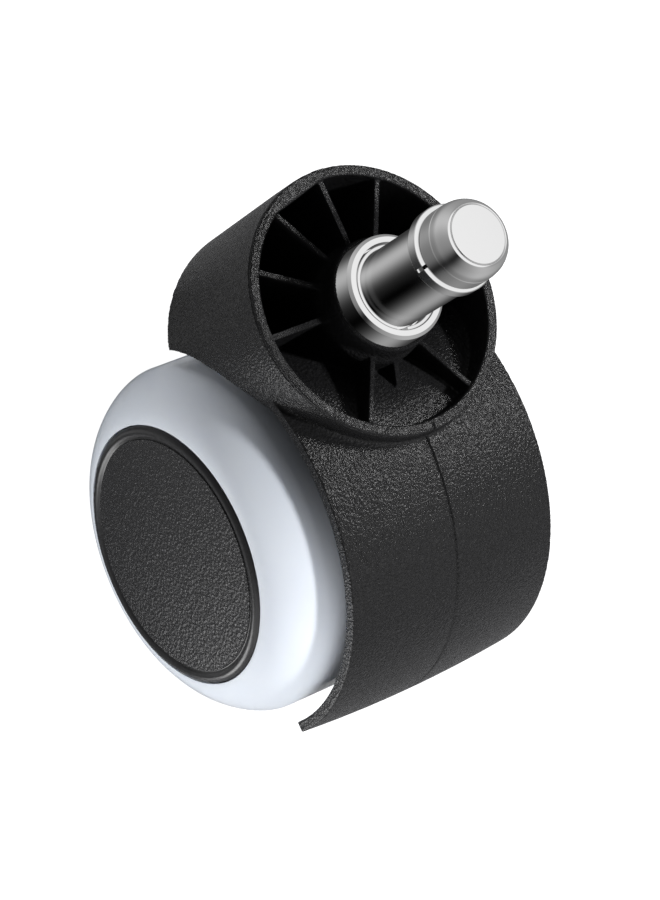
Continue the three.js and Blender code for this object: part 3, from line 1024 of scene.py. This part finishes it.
SUBJECT = Vector((0.01, 0, -0.045))
FLOOR_HALF = 6.0
FLOOR_GREYS = (0.27, 0.27, 0.28), (0.30, 0.30, 0.30)
FLOOR_GLOW = 0.99
ROOM_LEVEL = 0.1
BACKDROP_LEVEL = 1.05
GRAINED = ("hood_shell", "cap_left", "cap_right")

# Name, direction from the object, distance, width and height, power
MATT_LIGHTS = (
    ("key", (0.36, 0.4, 0.84), 0.6, (0.05, 0.05), 4.1),
    ("front", (0.92, -0.36, -0.15), 0.7, (0.6, 0.5), 4.7),
    ("wheel", (0.35, -0.9, -0.3), 0.6, (0.3, 0.3), 1.3),
    ("left", (-0.6, -0.72, -0.35), 0.6, (0.4, 0.1), 1.2),
    ("back", (-0.9, 0.35, -0.1), 0.7, (0.5, 0.5), 1.2),
)
GLOSS_LIGHTS = (
    ("front_sheen", (0.85, -0.52, -0.02), 0.7, (0.7, 0.5), 0.75),
    ("upper_sheen", (0.6, 0.35, 0.6), 0.7, (0.5, 0.5), 0.65),
    ("low_sheen", (-0.5, -0.4, -0.77), 0.6, (0.3, 0.3), 0.12),
    ("sparkle_top", (-0.1, 0.6, 0.79), 0.6, (0.12, 0.12), 1.45),
    ("sparkle_low", (0.45, -0.62, -0.64), 0.2, (0.09, 0.09), 0.14),
)

CAMERA_PLACE = Vector((0.04377, -0.25491, 0.32221))
CAMERA_AZIMUTH = 6.559
CAMERA_ELEVATION = 55.437
CAMERA_ROLL = 60.233
LENS = 130.4

BLACK_FROM, BLACK_TO = 0.008, 0.004  # below BLACK_TO the grain is cleaned away too
GRAIN_KEPT = 0.8


def soft_light(name, direction, distance, size, power):
    data = bpy.data.lights.new(name, "AREA")
    data.shape = "RECTANGLE"
    data.size, data.size_y = size
    data.energy = power
    obj = bpy.data.objects.new(name, data)
    bpy.context.scene.collection.objects.link(obj)
    away = Vector(direction).normalized()
    obj.location = SUBJECT + away * distance
    obj.rotation_euler = away.to_track_quat("Z", "Y").to_euler()
    obj.visible_camera = False
    return obj


def lights():
    """Some lights only light matt surfaces. The others only make the grained pieces shine, and only
    those pieces throw shadows in them."""
    grained = bpy.data.collections.new("grained")
    for name in GRAINED:
        grained.objects.link(bpy.data.objects[name])
    for light in MATT_LIGHTS:
        soft_light(*light).visible_glossy = False
    for light in GLOSS_LIGHTS:
        obj = soft_light(*light)
        obj.visible_diffuse = False
        obj.light_linking.receiver_collection = grained
        obj.light_linking.blocker_collection = grained


def white_surroundings():
    """White to the camera, and a dim room to everything else."""
    world = bpy.data.worlds.new("studio")
    bpy.context.scene.world = world
    world.use_nodes = True
    nodes, links = world.node_tree.nodes, world.node_tree.links
    background = nodes["Background"]
    background.inputs["Color"].default_value = (1, 1, 1, 1)
    path = nodes.new("ShaderNodeLightPath")
    level = nodes.new("ShaderNodeMapRange")
    level.inputs["To Min"].default_value = ROOM_LEVEL
    level.inputs["To Max"].default_value = BACKDROP_LEVEL
    links.new(path.outputs["Is Camera Ray"], level.inputs["Value"])
    links.new(level.outputs["Result"], background.inputs["Strength"])


def pale_floor():
    """So bright to the camera that it runs into the surroundings, and grey to everything else. Like a
    light table, it lets the low lights through, and it is clear when seen from below."""
    z = min(HOOD_LOW.z, TREAD_LOW.z) * MM
    far = FLOOR_HALF
    corners = [(-far, -far, z), (far, -far, z), (far, far, z), (-far, far, z)]
    floor = new_object("floor", corners, [(0, 1, 2, 3)])
    n = Nodes("floor")
    cloud = n.noise(n.coordinates(), 400.0)
    n.feed("Base Color", n.mix_colour(cloud, *FLOOR_GREYS))
    n.set("Roughness", 0.7)
    n.set("Specular IOR Level", 0.0)
    n.set("Emission Color", (1, 1, 1, 1))
    facing = n.add("ShaderNodeNewGeometry")
    n.feed("Alpha", n.math("SUBTRACT", 1.0, facing.outputs["Backfacing"]))
    path = n.add("ShaderNodeLightPath")
    n.feed("Emission Strength", n.math("MULTIPLY", path.outputs["Is Camera Ray"], FLOOR_GLOW))
    floor.data.materials.append(n.material)
    floor.visible_shadow = False


def clean_smooth_parts(scene):
    """Takes the render's own noise off the smooth parts and the deep shadows. Cleaning the grained nylon
    as well would wipe its fine grain away."""
    layer = scene.view_layers[0]
    layer.use_pass_normal = True
    marked = layer.aovs.add()
    marked.name = GRAIN_PASS
    marked.type = "VALUE"
    scene.use_nodes = True
    nodes, links = scene.node_tree.nodes, scene.node_tree.links
    nodes.clear()
    source = nodes.new("CompositorNodeRLayers")
    cleaned = nodes.new("CompositorNodeDenoise")
    links.new(source.outputs["Image"], cleaned.inputs["Image"])
    links.new(source.outputs["Normal"], cleaned.inputs["Normal"])
    grey = nodes.new("CompositorNodeRGBToBW")
    links.new(cleaned.outputs["Image"], grey.inputs[0])
    lit = nodes.new("CompositorNodeMapRange")
    lit.use_clamp = True
    lit.inputs["From Min"].default_value = BLACK_TO
    lit.inputs["From Max"].default_value = BLACK_FROM
    lit.inputs["To Max"].default_value = GRAIN_KEPT
    links.new(grey.outputs[0], lit.inputs["Value"])
    kept = nodes.new("CompositorNodeMath")
    kept.operation = "MULTIPLY"
    links.new(lit.outputs[0], kept.inputs[0])
    links.new(source.outputs[GRAIN_PASS], kept.inputs[1])
    mixed = nodes.new("CompositorNodeMixRGB")
    links.new(kept.outputs[0], mixed.inputs["Fac"])
    links.new(cleaned.outputs["Image"], mixed.inputs[1])
    links.new(source.outputs["Image"], mixed.inputs[2])
    result = nodes.new("CompositorNodeComposite")
    links.new(mixed.outputs["Image"], result.inputs["Image"])


def studio():
    scene = bpy.context.scene
    scene.view_settings.view_transform = "Standard"
    scene.view_settings.look = "None"
    scene.cycles.use_denoising = False
    clean_smooth_parts(scene)
    white_surroundings()
    pale_floor()
    lights()


def camera():
    """Looks down past the left wheel, rolled so that the stem points to the upper right."""
    data = bpy.data.cameras.new("camera")
    data.lens = LENS
    data.clip_start, data.clip_end = 0.01, 10
    obj = bpy.data.objects.new("camera", data)
    bpy.context.scene.collection.objects.link(obj)
    turn = Matrix.Rotation(math.radians(CAMERA_AZIMUTH), 4, "Z")
    tilt = Matrix.Rotation(math.radians(90 - CAMERA_ELEVATION), 4, "X")
    roll = Matrix.Rotation(math.radians(CAMERA_ROLL), 4, "Z")
    obj.matrix_world = Matrix.Translation(CAMERA_PLACE) @ turn @ tilt @ roll
    bpy.context.scene.camera = obj


build()
studio()
camera()
